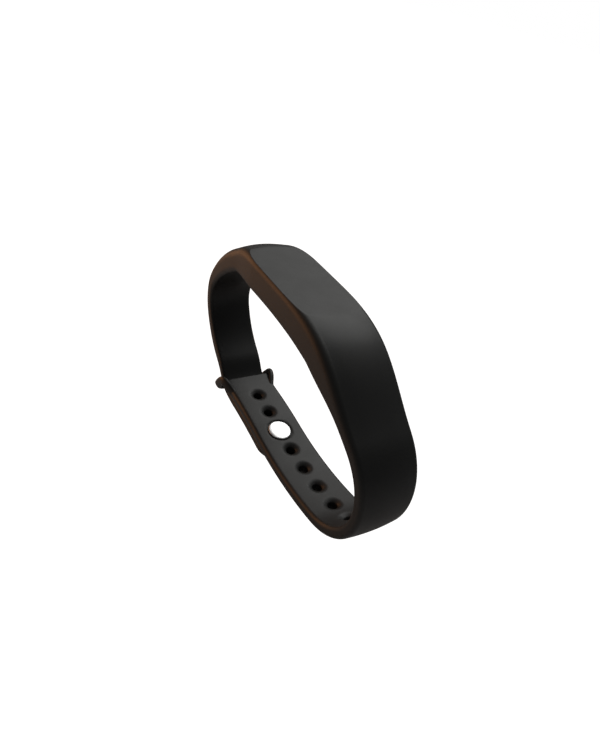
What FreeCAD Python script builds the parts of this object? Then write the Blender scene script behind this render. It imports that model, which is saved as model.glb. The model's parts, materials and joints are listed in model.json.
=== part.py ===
import FreeCAD, Part
import math
import os

from FreeCAD import Vector

os.makedirs("parts", exist_ok=True)

# Fitness tracker band, closed as a ring. Millimetres.
# Origin: centre of the flat top of the pod. +Z points away from the wrist,
# +X runs across the band, and -Y is the end of the pod that carries the long
# strap with the holes. Wrist centre lies below the pod, on -Z.

# Middle line of the band in the YZ plane, from the pod's -Y end round to its
# +Y end: a start point, a start heading and tangent arcs (length, turn in
# degrees). It turns left, so the wrist is always on its left.
PATH_START = (-21.5, -5.7)
PATH_HEADING = -157.0
PATH_ARCS = [
    (21.5, 10.0),
    (38.0, 134.0),
    (30.5, 20.0),
    (16.0, -7.0),
    (31.0, 62.0),
    (13.0, 63.0),
    (19.0, 26.0),
]
PATH_LENGTH = sum(length for length, turn in PATH_ARCS)

# Straps: even in the middle, swelling towards the pod on both faces
STRAP_THICKNESS = 2.9
TAIL_THICKNESS = 2.2
STRAP_CORNER = 0.9
TAIL_CORNER = 0.7
HOLE_STRAP_WIDTH = 14.3
STUD_STRAP_WIDTH = 13.4
NEAR_END_WIDTH = 17.8
FAR_END_WIDTH = 16.0
NEAR_TAPER_LENGTH = 50.0
FAR_TAPER_LENGTH = 30.0
NEAR_OUTER_SWELL = 2.4
NEAR_OUTER_SWELL_LENGTH = 21.0
NEAR_INNER_SWELL = 1.7
NEAR_INNER_SWELL_LENGTH = 17.0
NEAR_INNER_THICKENING = 0.6
NEAR_THICKENING_START = 20.0
NEAR_THICKENING_END = 46.0
NEAR_OUTER_CORNER = 2.0
NEAR_INNER_CORNER = 1.4
NEAR_CORNER_LENGTH = 36.0
FAR_OUTER_SWELL = 1.8
FAR_OUTER_SWELL_LENGTH = 33.0
FAR_INNER_SWELL = 1.65
FAR_INNER_SWELL_LENGTH = 30.0
FAR_INNER_OFFSET = 1.8
FAR_THICKENING_LENGTH = 12.0
FAR_OUTER_CORNER = 2.4
FAR_INNER_CORNER = 1.6
STATION_STEP = 4.0

# Flex lines: the moulding is divided here by a slit, and each side ends half
# a slit away from the pivot. The slits beside the pod are wider, because the
# band is thicker there.
FLEX_SLIT = 0.5
POD_SLIT = 0.8
LOWER_FLEX_U = 48.0

# Fastening holes, counted from the keeper loop
FIRST_HOLE_U = 104.2
HOLE_PITCH = 7.3
HOLE_COUNT = 8
OCCUPIED_HOLE = 2
HOLE_RADIUS = 1.3
DIMPLE_RADIUS = 2.8
DIMPLE_DEPTH = 1.6

# Keeper loop at the end of the hole strap
LOOP_U = 110.4
LOOP_ARM_INNER = 7.05
LOOP_ARM_OUTER = 8.75
LOOP_BAR_START = 1.8
LOOP_BAR_END = 4.3
LOOP_BAR_INNER = 4.4
LOOP_BAR_OUTER = 6.0
LOOP_ROOT_LENGTH = 5.0
LOOP_ROOT_INSET = 0.3
LOOP_HEEL = 0.3
LOOP_KNEE = (2.6, 0.4)
LOOP_SHOULDER = 0.4
CROSSING_START = 1.0
CROSSING_LENGTH = 9.0
CROSSING_STEP = 1.5

# Tail, outside the hole strap
TAIL_GAP = 0.2
TAIL_OFFSET = (STRAP_THICKNESS + TAIL_THICKNESS) / 2 + TAIL_GAP
TAIL_HINGE = 0.5
TAIL_TIP_U = 81.3

# Stud
STUD_STEM_RADIUS = 1.2
STUD_HEAD_RADIUS = 3.7
STUD_HEAD_RIM = 0.35
STUD_HEAD_DOME = 0.55
STUD_CAP_RADIUS = 4.0
STUD_CAP_RIM = 0.6
STUD_CAP_DOME = 0.6
STUD_CAP_SINK = 0.5
STUD_SOCKET_DEPTH = 0.6
LIP_HOLE_RADIUS = 4.7
LIP_RADIUS = 4.68
LIP_BORE_RADIUS = 1.5
LIP_RECESS_RADIUS = 4.0
LIP_RECESS_DEPTH = 0.6
HEAD_SEAT_GAP = 0.1
STEM_CLEARANCE = 0.05
CAP_CLEARANCE = 0.1
SOCKET_CLEARANCE = 0.02
DOME_STEPS = 4

# Pod sleeve: a pillow whose top is cut flat at Z = 0, hollowed along its
# underside to follow the wrist
POD_HALF_WIDTH = 8.95
POD_TOP_RISE = 0.7
POD_NEAR_POWER = 3.3
POD_FAR_POWER = 4.6
POD_UNDERSIDE_Z = -7.75
POD_OUTER_CORNER = 2.0
POD_INNER_CORNER = 1.8
POD_TAPER_START = 0.45
POD_STATIONS = 13

# Pocket and core
POCKET_CEILING_Z = -2.0
POCKET_HALF_LENGTH = 16.4
POCKET_HALF_WIDTH = 6.4
CORE_CLEARANCE = 0.2
CORE_TOP_Z = -2.15
CORE_SPLIT_Z = -4.6
CORE_BOTTOM_Z = -7.9
CORE_WALL = 0.8
CORE_EDGE_ROUND = 0.6
GASKET_THICKNESS = 0.3
GASKET_WIDTH = 0.4

# Inside the core
BOARD_THICKNESS = 0.7
BOARD_TOP_Z = -3.75
BOARD_HALF_LENGTH = 14.6
BOARD_HALF_WIDTH = 4.9
BATTERY_SIZE = (8.6, 14.6, 2.0)
BATTERY_CENTRE_Y = -6.6
BATTERY_CORNER = 1.0
BATTERY_PAD_THICKNESS = 0.2
BATTERY_PAD_SIZE = (7.0, 12.0, BATTERY_PAD_THICKNESS)
MOTOR_CENTRE_Y = 5.8
MOTOR_RADIUS = 3.5
MOTOR_WALL = 0.25
MOTOR_HEIGHT = 2.1
MOTOR_SHAFT_RADIUS = 0.3
ROTOR_CLEARANCE = 0.25
ROTOR_HUB_RADIUS = 0.9
ROTOR_RADIUS = 2.95
ROTOR_HEIGHT = 1.1
ROTOR_BORE_RADIUS = 0.36
CONTACT_RADIUS = 1.1
CONTACT_SPACING = 5.0
CONTACT_Y = 12.2
CONTACT_FLANGE_WIDTH = 0.3
CONTACT_FLANGE_THICKNESS = 0.3
PRESS_FIT = 0.02
LED_PITCH = 4.0
LED_SIZE = (1.6, 0.8, 0.35)
LED_CENTRE_Y = 0.0
GUIDE_HALF_WIDTH = 0.9
GUIDE_END = 1.2
WINDOW_RADIUS = 0.6

# Parts soldered on top of the board: size, then place of the centre in X and Y
CONTROLLER_SIZE = (3.6, 3.6, 0.5)
CONTROLLER_PLACE = (0, 8.6)
MOTION_CHIP_SIZE = (2.0, 2.0, 0.5)
MOTION_CHIP_PLACE = (-2.6, -6.8)
CRYSTAL_SIZE = (1.6, 2.0, 0.4)
CRYSTAL_PLACE = (2.8, 5.2)
ANTENNA_SIZE = (5.0, 1.6, 0.5)
ANTENNA_PLACE = (0, -12.2)


def path_state(u):
    """Position and heading (radians) of the middle line at arc length u."""
    y, z = PATH_START
    heading = math.radians(PATH_HEADING)
    remaining = u
    for length, turn in PATH_ARCS:
        step = min(remaining, length)
        curvature = math.radians(turn) / length
        following = heading + curvature * step
        y += (math.sin(following) - math.sin(heading)) / curvature
        z -= (math.cos(following) - math.cos(heading)) / curvature
        heading = following
        remaining -= step
        if remaining <= 0:
            break
    return y, z, heading


def frame_at(u, offset=0.0):
    """Point on the band at u, offset outward, with its along and outward axes."""
    y, z, heading = path_state(u)
    along = Vector(0, math.cos(heading), math.sin(heading))
    outward = Vector(0, math.sin(heading), -math.cos(heading))
    centre = Vector(0, y, z) + outward * offset
    return centre, along, outward


def section(outer, inner, width, outer_corner, inner_corner):
    """Rounded rectangle across the band, between a point on its outer face and
    one on its inner face."""
    centre = (outer + inner) * 0.5
    outward = outer - inner
    half_thickness = outward.Length / 2
    outward.normalize()
    side = Vector(1, 0, 0)
    half_width = width / 2
    arcs = []
    starts = []
    ends = []
    for sx, sn in [(1, 1), (-1, 1), (-1, -1), (1, -1)]:
        corner = outer_corner if sn > 0 else inner_corner
        bend = corner * (1 - math.sqrt(0.5))
        on_side = centre + side * (sx * half_width) + outward * (sn * (half_thickness - corner))
        on_face = centre + side * (sx * (half_width - corner)) + outward * (sn * half_thickness)
        middle = centre + side * (sx * (half_width - bend)) + outward * (sn * (half_thickness - bend))
        first, last = (on_side, on_face) if sx * sn > 0 else (on_face, on_side)
        starts.append(first)
        ends.append(last)
        arcs.append(Part.Arc(first, middle, last).toShape())
    edges = []
    for index in range(4):
        edges.append(arcs[index])
        edges.append(Part.makeLine(ends[index], starts[(index + 1) % 4]))
    return Part.Wire(edges)


def stations(start, end):
    """Evenly spaced arc lengths from start to end."""
    count = max(2, math.ceil(abs(end - start) / STATION_STEP) + 1)
    return [start + (end - start) * index / (count - 1) for index in range(count)]


def smooth_step(value):
    """0 below 0, 1 above 1, with a smooth rise between."""
    bounded = min(1.0, max(0.0, value))
    return bounded * bounded * (3 - 2 * bounded)


def fall(distance, length):
    """1 at no distance, easing to 0 at length."""
    return 1 - smooth_step(distance / length)


def near_width(u):
    """Width of the long strap: widest at the pod, narrowing to the holes."""
    return HOLE_STRAP_WIDTH + (NEAR_END_WIDTH - HOLE_STRAP_WIDTH) * fall(u, NEAR_TAPER_LENGTH)


def near_outer(u):
    """Outward distance of the long strap's outer face from the middle line."""
    return STRAP_THICKNESS / 2 + NEAR_OUTER_SWELL * fall(u, NEAR_OUTER_SWELL_LENGTH)


def near_inner(u):
    """Inward distance of the long strap's skin side from the middle line."""
    swell = NEAR_INNER_SWELL * fall(u, NEAR_INNER_SWELL_LENGTH)
    thickening = NEAR_INNER_THICKENING * fall(
        u - NEAR_THICKENING_START, NEAR_THICKENING_END - NEAR_THICKENING_START
    )
    return STRAP_THICKNESS / 2 + swell + thickening


def near_section(u):
    """Section of the long strap at u, with corners that tighten down the strap."""
    share = fall(u, NEAR_CORNER_LENGTH)
    return section(
        frame_at(u, near_outer(u))[0],
        frame_at(u, -near_inner(u))[0],
        near_width(u),
        STRAP_CORNER + (NEAR_OUTER_CORNER - STRAP_CORNER) * share,
        STRAP_CORNER + (NEAR_INNER_CORNER - STRAP_CORNER) * share,
    )


def crossing_offset(u):
    """Outward offset of the short strap where it rises over the hole strap's end."""
    return TAIL_OFFSET * fall(u - LOOP_U - CROSSING_START, CROSSING_LENGTH)


def far_width(u):
    """Width of the short strap: widest at the pod."""
    share = fall(PATH_LENGTH - u, FAR_TAPER_LENGTH)
    return STUD_STRAP_WIDTH + (FAR_END_WIDTH - STUD_STRAP_WIDTH) * share


def far_outer(u):
    """Outward distance of the short strap's outer face from the middle line."""
    swell = FAR_OUTER_SWELL * fall(PATH_LENGTH - u, FAR_OUTER_SWELL_LENGTH)
    return TAIL_THICKNESS / 2 + crossing_offset(u) + swell


def far_inner(u):
    """Inward distance of the short strap's skin side from the middle line."""
    thin = TAIL_THICKNESS / 2
    thickening = 1 - fall(u - LOOP_U - CROSSING_START, FAR_THICKENING_LENGTH)
    swell = FAR_INNER_SWELL * fall(PATH_LENGTH - u, FAR_INNER_SWELL_LENGTH)
    return thin + (FAR_INNER_OFFSET - thin) * thickening + swell - crossing_offset(u)


def far_section(u):
    """Section of the short strap at u, with corners that widen towards the pod."""
    share = fall(PATH_LENGTH - u, FAR_OUTER_SWELL_LENGTH)
    return section(
        frame_at(u, far_outer(u))[0],
        frame_at(u, -far_inner(u))[0],
        far_width(u),
        TAIL_CORNER + (FAR_OUTER_CORNER - TAIL_CORNER) * share,
        TAIL_CORNER + (FAR_INNER_CORNER - TAIL_CORNER) * share,
    )


def export(shape, name):
    """Write one named solid."""
    solid = shape.Solids[0]
    if len(shape.Solids) != 1 or not solid.isValid():
        raise ValueError(name + " is not one valid solid")
    solid.exportStep("parts/" + name + ".step")


def disc_at(u, radius, low, high):
    """Cylinder across the band's thickness at u, between two outward offsets."""
    base, along, outward = frame_at(u, low)
    return Part.makeCylinder(radius, high - low, base, outward)


def turned_at(u, outline):
    """Solid of revolution about the band's outward axis at u.
    outline is a list of (radius, outward offset) points."""
    origin, along, outward = frame_at(u)
    points = [origin + along * radius + outward * height for radius, height in outline]
    face = Part.Face(Part.makePolygon(points + points[:1]))
    return face.revolve(origin, outward, 360)


def slab_outline(half_length, half_width, low, high):
    """Vertical-sided capsule, long along Y."""
    straight = half_length - half_width
    box = Part.makeBox(
        2 * half_width, 2 * straight, high - low, Vector(-half_width, -straight, low)
    )
    shape = box
    for y in (-straight, straight):
        shape = shape.fuse(Part.makeCylinder(half_width, high - low, Vector(0, y, low)))
    return shape.removeSplitter()


def centred_box(size, centre_x, centre_y, low_z):
    """Box of the given size standing on low_z."""
    corner = Vector(centre_x - size[0] / 2, centre_y - size[1] / 2, low_z)
    return Part.makeBox(size[0], size[1], size[2], corner)


# ---- pod sleeve -----------------------------------------------------------

def pod_end(u, outer_offset, inner_offset, inward):
    """Outer and inner corner points of the pod's end face, half a slit from u."""
    step = frame_at(u)[1] * (inward * POD_SLIT / 2)
    return frame_at(u, outer_offset)[0] + step, frame_at(u, -inner_offset)[0] + step


def pod_section(share, near, far):
    """Section of the pod at share, from -1 at the near end to 1 at the far end.
    Top: rise - (rise - end height) |share|^power. Underside: middle height plus
    the end's share of the hollow, share^2."""
    outer_end, inner_end = near if share < 0 else far
    power = POD_NEAR_POWER if share < 0 else POD_FAR_POWER
    size = abs(share)
    top_z = POD_TOP_RISE - (POD_TOP_RISE - outer_end.z) * size**power
    low_z = POD_UNDERSIDE_Z + (inner_end.z - POD_UNDERSIDE_Z) * size**2
    toward_far = smooth_step((share - POD_TAPER_START) / (1 - POD_TAPER_START))
    width = 2 * POD_HALF_WIDTH + (FAR_END_WIDTH - 2 * POD_HALF_WIDTH) * toward_far
    outer_corner = POD_OUTER_CORNER + (FAR_OUTER_CORNER - POD_OUTER_CORNER) * toward_far
    toward_end = smooth_step(size)
    end_corner = NEAR_INNER_CORNER if share < 0 else FAR_INNER_CORNER
    inner_corner = POD_INNER_CORNER + (end_corner - POD_INNER_CORNER) * toward_end
    return section(
        Vector(0, outer_end.y * size, top_z),
        Vector(0, inner_end.y * size, low_z),
        width,
        outer_corner,
        inner_corner,
    )


def build_pod_sleeve():
    near = pod_end(0, near_outer(0), near_inner(0), -1)
    far = pod_end(PATH_LENGTH, far_outer(PATH_LENGTH), far_inner(PATH_LENGTH), 1)
    shares = [2 * index / (POD_STATIONS - 1) - 1 for index in range(POD_STATIONS)]
    body = Part.makeLoft([pod_section(share, near, far) for share in shares], True, False)
    reach = 2 * PATH_LENGTH
    above = Part.makeBox(reach, reach, reach, Vector(-reach / 2, -reach / 2, 0))
    body = body.cut(above)
    pocket = slab_outline(
        POCKET_HALF_LENGTH, POCKET_HALF_WIDTH, 2 * POD_UNDERSIDE_Z, POCKET_CEILING_Z
    )
    return body.cut(pocket)


# ---- straps -----------------------------------------------------------------

def build_near_strap():
    wires = [near_section(u) for u in stations(POD_SLIT / 2, LOWER_FLEX_U - FLEX_SLIT / 2)]
    return Part.makeLoft(wires, True, False)


def build_hole_strap_blank():
    wires = [near_section(u) for u in stations(LOWER_FLEX_U + FLEX_SLIT / 2, LOOP_U)]
    return Part.makeLoft(wires, True, False)


def build_loop_frame():
    """Two side arms and the bar that passes outside the short strap."""
    centre, along, outward = frame_at(LOOP_U)
    half = STRAP_THICKNESS / 2
    arm_outline = [
        (-LOOP_ROOT_LENGTH, -half + LOOP_ROOT_INSET),
        (LOOP_HEEL, -half),
        LOOP_KNEE,
        (LOOP_BAR_END, LOOP_BAR_INNER - LOOP_SHOULDER),
        (LOOP_BAR_END, LOOP_BAR_OUTER),
        (LOOP_BAR_START, LOOP_BAR_OUTER),
        (-LOOP_SHOULDER, LOOP_BAR_INNER - LOOP_SHOULDER),
        (-LOOP_ROOT_LENGTH, half - LOOP_ROOT_INSET),
    ]
    points = [centre + along * t + outward * n for t, n in arm_outline]
    arm_face = Part.Face(Part.makePolygon(points + points[:1]))
    frame = None
    for low in (LOOP_ARM_INNER, -LOOP_ARM_OUTER):
        face = arm_face.copy()
        face.translate(Vector(low, 0, 0))
        arm = face.extrude(Vector(LOOP_ARM_OUTER - LOOP_ARM_INNER, 0, 0))
        frame = arm if frame is None else frame.fuse(arm)
    bar_outline = [
        (LOOP_BAR_START, LOOP_BAR_INNER),
        (LOOP_BAR_END, LOOP_BAR_INNER),
        (LOOP_BAR_END, LOOP_BAR_OUTER),
        (LOOP_BAR_START, LOOP_BAR_OUTER),
    ]
    points = [centre + along * t + outward * n for t, n in bar_outline]
    bar_face = Part.Face(Part.makePolygon(points + points[:1]))
    bar_face.translate(Vector(-LOOP_ARM_OUTER, 0, 0))
    bar = bar_face.extrude(Vector(2 * LOOP_ARM_OUTER, 0, 0))
    return frame.fuse(bar)


def hole_positions():
    return [FIRST_HOLE_U - HOLE_PITCH * index for index in range(HOLE_COUNT)]


def build_hole_cutter(u):
    """Through hole with a round dimple on the skin side."""
    half = STRAP_THICKNESS / 2
    outline = [
        (0, -half - 1),
        (DIMPLE_RADIUS, -half - 1),
        (DIMPLE_RADIUS, -half),
        (HOLE_RADIUS, -half + DIMPLE_DEPTH),
        (HOLE_RADIUS, half + 1),
        (0, half + 1),
    ]
    return turned_at(u, outline)


def build_hole_strap():
    strap = build_hole_strap_blank().fuse(build_loop_frame())
    for index, u in enumerate(hole_positions()):
        if index == OCCUPIED_HOLE:
            strap = strap.cut(disc_at(u, LIP_HOLE_RADIUS, -STRAP_THICKNESS, STRAP_THICKNESS))
        else:
            strap = strap.cut(build_hole_cutter(u))
    return strap


def build_stud_hole_lip():
    """Ring of the hole strap that stretches when the stud head is pulled out."""
    u = hole_positions()[OCCUPIED_HOLE]
    half = STRAP_THICKNESS / 2
    lip = build_hole_strap_blank().common(disc_at(u, LIP_RADIUS, -STRAP_THICKNESS, STRAP_THICKNESS))
    lip = lip.cut(disc_at(u, LIP_BORE_RADIUS, -STRAP_THICKNESS, STRAP_THICKNESS))
    return lip.cut(disc_at(u, LIP_RECESS_RADIUS, -half - 1, -half + LIP_RECESS_DEPTH))


def build_stud_strap():
    start = LOOP_U + TAIL_HINGE + FLEX_SLIT / 2
    end = PATH_LENGTH - POD_SLIT / 2
    crossing = [start + CROSSING_STEP * step for step in range(8)]
    wires = [far_section(u) for u in crossing + stations(crossing[-1] + STATION_STEP, end)]
    return Part.makeLoft(wires, True, False)


def build_tail_strap():
    start = LOOP_U + TAIL_HINGE - FLEX_SLIT / 2
    wires = [
        section(
            frame_at(u, TAIL_OFFSET + TAIL_THICKNESS / 2)[0],
            frame_at(u, TAIL_OFFSET - TAIL_THICKNESS / 2)[0],
            STUD_STRAP_WIDTH,
            TAIL_CORNER,
            TAIL_CORNER,
        )
        for u in stations(start, TAIL_TIP_U)
    ]
    strap = Part.makeLoft(wires, True, False)
    radius = STUD_STRAP_WIDTH / 2
    centre, along, outward = frame_at(TAIL_TIP_U + radius)
    reach = start - TAIL_TIP_U
    tip = Part.makeCylinder(radius, reach, centre, outward)
    side = Vector(radius, 0, 0)
    shank_face = Part.Face(
        Part.makePolygon(
            [
                centre - side,
                centre + side,
                centre + side + along * reach,
                centre - side + along * reach,
                centre - side,
            ]
        )
    )
    outline = tip.fuse(shank_face.extrude(outward * reach))
    strap = strap.common(outline)
    u = hole_positions()[OCCUPIED_HOLE]
    outer_face = TAIL_OFFSET + TAIL_THICKNESS / 2
    strap = strap.cut(disc_at(u, STUD_STEM_RADIUS + STEM_CLEARANCE, 0, 2 * outer_face))
    return strap.cut(
        disc_at(u, STUD_CAP_RADIUS + CAP_CLEARANCE, outer_face - STUD_CAP_SINK, 2 * outer_face)
    )


# ---- stud -------------------------------------------------------------------

def dome_outline(radius, base, rise):
    """Points (radius, height) from the rim of a quarter ellipse to its crown."""
    turns = [math.pi / 2 * step / DOME_STEPS for step in range(DOME_STEPS)]
    points = [(radius * math.cos(turn), base + rise * math.sin(turn)) for turn in turns]
    return points + [(0, base + rise)]


def build_stud_cap():
    u = hole_positions()[OCCUPIED_HOLE]
    seat = TAIL_OFFSET + TAIL_THICKNESS / 2 - STUD_CAP_SINK
    rim = seat + STUD_CAP_RIM
    socket = seat + STUD_SOCKET_DEPTH
    socket_radius = STUD_STEM_RADIUS + SOCKET_CLEARANCE
    outline = [
        (0, socket),
        (socket_radius, socket),
        (socket_radius, seat),
        (STUD_CAP_RADIUS, seat),
    ]
    outline += dome_outline(STUD_CAP_RADIUS, rim, STUD_CAP_DOME)
    return turned_at(u, outline)


def build_stud_pin():
    u = hole_positions()[OCCUPIED_HOLE]
    under_head = -STRAP_THICKNESS / 2 + LIP_RECESS_DEPTH - HEAD_SEAT_GAP
    rim = under_head - STUD_HEAD_RIM
    seat = TAIL_OFFSET + TAIL_THICKNESS / 2 - STUD_CAP_SINK
    top = seat + STUD_SOCKET_DEPTH - STEM_CLEARANCE
    outline = [
        (0, top),
        (STUD_STEM_RADIUS, top),
        (STUD_STEM_RADIUS, under_head),
        (STUD_HEAD_RADIUS, under_head),
    ]
    outline += dome_outline(STUD_HEAD_RADIUS, rim, -STUD_HEAD_DOME)
    return turned_at(u, outline)


# ---- core -------------------------------------------------------------------

CORE_HALF_LENGTH = POCKET_HALF_LENGTH - CORE_CLEARANCE
CORE_HALF_WIDTH = POCKET_HALF_WIDTH - CORE_CLEARANCE
CAVITY_HALF_LENGTH = CORE_HALF_LENGTH - CORE_WALL
CAVITY_HALF_WIDTH = CORE_HALF_WIDTH - CORE_WALL
CAVITY_FLOOR_Z = CORE_BOTTOM_Z + CORE_WALL
CAVITY_CEILING_Z = CORE_TOP_Z - CORE_WALL
LEDS_Y = [LED_CENTRE_Y + LED_PITCH * step for step in (-1, 0, 1)]


def build_core_base():
    shell = slab_outline(CORE_HALF_LENGTH, CORE_HALF_WIDTH, CORE_BOTTOM_Z, CORE_SPLIT_Z)
    low_edges = [edge for edge in shell.Edges if abs(edge.CenterOfMass.z - CORE_BOTTOM_Z) < 0.01]
    shell = shell.makeFillet(CORE_EDGE_ROUND, low_edges)
    shell = shell.cut(
        slab_outline(CAVITY_HALF_LENGTH, CAVITY_HALF_WIDTH, CAVITY_FLOOR_Z, CORE_SPLIT_Z + 1)
    )
    for side in (-1, 1):
        centre = Vector(side * CONTACT_SPACING / 2, CONTACT_Y, CORE_BOTTOM_Z - 1)
        shell = shell.cut(Part.makeCylinder(CONTACT_RADIUS + PRESS_FIT, 2 * CORE_WALL + 1, centre))
    return shell


def build_core_cover():
    shell = slab_outline(CORE_HALF_LENGTH, CORE_HALF_WIDTH, CORE_SPLIT_Z, CORE_TOP_Z)
    top_edges = [edge for edge in shell.Edges if abs(edge.CenterOfMass.z - CORE_TOP_Z) < 0.01]
    shell = shell.makeFillet(CORE_EDGE_ROUND, top_edges)
    shell = shell.cut(
        slab_outline(CAVITY_HALF_LENGTH, CAVITY_HALF_WIDTH, CORE_SPLIT_Z - 1, CAVITY_CEILING_Z)
    )
    groove = slab_outline(
        CAVITY_HALF_LENGTH + GASKET_WIDTH,
        CAVITY_HALF_WIDTH + GASKET_WIDTH,
        CORE_SPLIT_Z - 1,
        CORE_SPLIT_Z + GASKET_THICKNESS,
    )
    shell = shell.cut(groove)
    for y in LEDS_Y:
        below = Vector(0, y, CAVITY_CEILING_Z - CORE_WALL)
        window = Part.makeCylinder(WINDOW_RADIUS + PRESS_FIT, 3 * CORE_WALL, below)
        shell = shell.cut(window)
    return shell


def build_core_gasket():
    outer = slab_outline(
        CAVITY_HALF_LENGTH + GASKET_WIDTH - PRESS_FIT,
        CAVITY_HALF_WIDTH + GASKET_WIDTH - PRESS_FIT,
        CORE_SPLIT_Z,
        CORE_SPLIT_Z + GASKET_THICKNESS,
    )
    inner = slab_outline(
        CAVITY_HALF_LENGTH, CAVITY_HALF_WIDTH, CORE_SPLIT_Z - 1, CORE_SPLIT_Z + 1
    )
    return outer.cut(inner)


def build_contact(side):
    """Gold charging contact: a button in the floor with a wider inner flange."""
    centre = Vector(side * CONTACT_SPACING / 2, CONTACT_Y, CORE_BOTTOM_Z)
    button = Part.makeCylinder(CONTACT_RADIUS, CORE_WALL, centre)
    flange = Part.makeCylinder(
        CONTACT_RADIUS + CONTACT_FLANGE_WIDTH,
        CONTACT_FLANGE_THICKNESS,
        Vector(centre.x, centre.y, CAVITY_FLOOR_Z),
    )
    return button.fuse(flange)


def build_main_board():
    low = BOARD_TOP_Z - BOARD_THICKNESS
    return slab_outline(BOARD_HALF_LENGTH, BOARD_HALF_WIDTH, low, BOARD_TOP_Z)


def build_light_guide():
    """Clear bar over the three lights with a round tip in each window."""
    low = BOARD_TOP_Z + LED_SIZE[2]
    size = (2 * GUIDE_HALF_WIDTH, 2 * LED_PITCH + 2 * GUIDE_END, CAVITY_CEILING_Z - low)
    bar = centred_box(size, 0, LED_CENTRE_Y, low)
    for y in LEDS_Y:
        bar = bar.fuse(Part.makeCylinder(WINDOW_RADIUS, CORE_TOP_Z - low, Vector(0, y, low)))
    return bar


def build_battery_cell():
    floor = CAVITY_FLOOR_Z + BATTERY_PAD_THICKNESS
    cell = centred_box(BATTERY_SIZE, 0, BATTERY_CENTRE_Y, floor)
    uprights = [edge for edge in cell.Edges if abs(edge.Vertexes[0].Z - edge.Vertexes[1].Z) > 1]
    return cell.makeFillet(BATTERY_CORNER, uprights)


def build_motor_can():
    """Round flat vibration motor case, hollow inside."""
    centre = Vector(0, MOTOR_CENTRE_Y, CAVITY_FLOOR_Z)
    can = Part.makeCylinder(MOTOR_RADIUS, MOTOR_HEIGHT, centre)
    hollow = Part.makeCylinder(
        MOTOR_RADIUS - MOTOR_WALL,
        MOTOR_HEIGHT - 2 * MOTOR_WALL,
        Vector(0, MOTOR_CENTRE_Y, CAVITY_FLOOR_Z + MOTOR_WALL),
    )
    return can.cut(hollow)


def build_motor_shaft():
    return Part.makeCylinder(
        MOTOR_SHAFT_RADIUS,
        MOTOR_HEIGHT - 2 * MOTOR_WALL,
        Vector(0, MOTOR_CENTRE_Y, CAVITY_FLOOR_Z + MOTOR_WALL),
    )


def build_motor_rotor():
    """Eccentric half disc around the shaft."""
    low = CAVITY_FLOOR_Z + MOTOR_WALL + ROTOR_CLEARANCE
    centre = Vector(0, MOTOR_CENTRE_Y, low)
    half_disc = Part.makeCylinder(ROTOR_RADIUS, ROTOR_HEIGHT, centre, Vector(0, 0, 1), 180)
    hub = Part.makeCylinder(ROTOR_HUB_RADIUS, ROTOR_HEIGHT, centre)
    bore = Part.makeCylinder(ROTOR_BORE_RADIUS, 3 * ROTOR_HEIGHT, centre - Vector(0, 0, ROTOR_HEIGHT))
    return half_disc.fuse(hub).cut(bore)


export(build_pod_sleeve(), "pod_sleeve")
export(build_near_strap(), "near_strap")
export(build_hole_strap(), "hole_strap")
export(build_stud_hole_lip(), "stud_hole_lip")
export(build_stud_strap(), "stud_strap")
export(build_tail_strap(), "tail_strap")
export(build_stud_cap(), "stud_cap")
export(build_stud_pin(), "stud_pin")
export(build_core_base(), "core_base")
export(build_core_cover(), "core_cover")
export(build_core_gasket(), "core_gasket")
export(build_contact(-1), "contact_left")
export(build_contact(1), "contact_right")
export(build_main_board(), "main_board")
export(centred_box(CONTROLLER_SIZE, *CONTROLLER_PLACE, BOARD_TOP_Z), "controller_chip")
export(centred_box(MOTION_CHIP_SIZE, *MOTION_CHIP_PLACE, BOARD_TOP_Z), "motion_chip")
export(centred_box(CRYSTAL_SIZE, *CRYSTAL_PLACE, BOARD_TOP_Z), "crystal_can")
export(centred_box(ANTENNA_SIZE, *ANTENNA_PLACE, BOARD_TOP_Z), "chip_antenna")
for letter, light_y in zip("abc", LEDS_Y):
    export(centred_box(LED_SIZE, 0, light_y, BOARD_TOP_Z), "led_" + letter)
export(build_light_guide(), "light_guide")
export(centred_box(BATTERY_PAD_SIZE, 0, BATTERY_CENTRE_Y, CAVITY_FLOOR_Z), "battery_pad")
export(build_battery_cell(), "battery_cell")
export(build_motor_can(), "motor_can")
export(build_motor_shaft(), "motor_shaft")
export(build_motor_rotor(), "motor_rotor")
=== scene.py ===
import json
import math

import bpy
import numpy as np
from mathutils import Euler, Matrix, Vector


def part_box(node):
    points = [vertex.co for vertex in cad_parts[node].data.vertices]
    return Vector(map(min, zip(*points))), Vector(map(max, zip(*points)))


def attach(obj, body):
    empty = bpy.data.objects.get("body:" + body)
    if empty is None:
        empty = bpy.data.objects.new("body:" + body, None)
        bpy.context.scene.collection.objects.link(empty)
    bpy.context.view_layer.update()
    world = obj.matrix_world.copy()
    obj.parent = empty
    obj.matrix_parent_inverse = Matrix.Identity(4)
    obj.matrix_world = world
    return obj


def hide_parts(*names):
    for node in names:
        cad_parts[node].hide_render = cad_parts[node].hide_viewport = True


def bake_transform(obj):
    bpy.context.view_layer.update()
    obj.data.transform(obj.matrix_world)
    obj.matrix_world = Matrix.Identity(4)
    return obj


bl_info = {
    "name": "Fitness Tracker Band Looks",
    "version": (1, 0, 0),
    "blender": (4, 5, 0),
    "location": "View3D > Sidebar > Tracker Band",
    "description": "Builds the silicone band, stud, materials and stage around the packed frame",
    "category": "Object",
}

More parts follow.
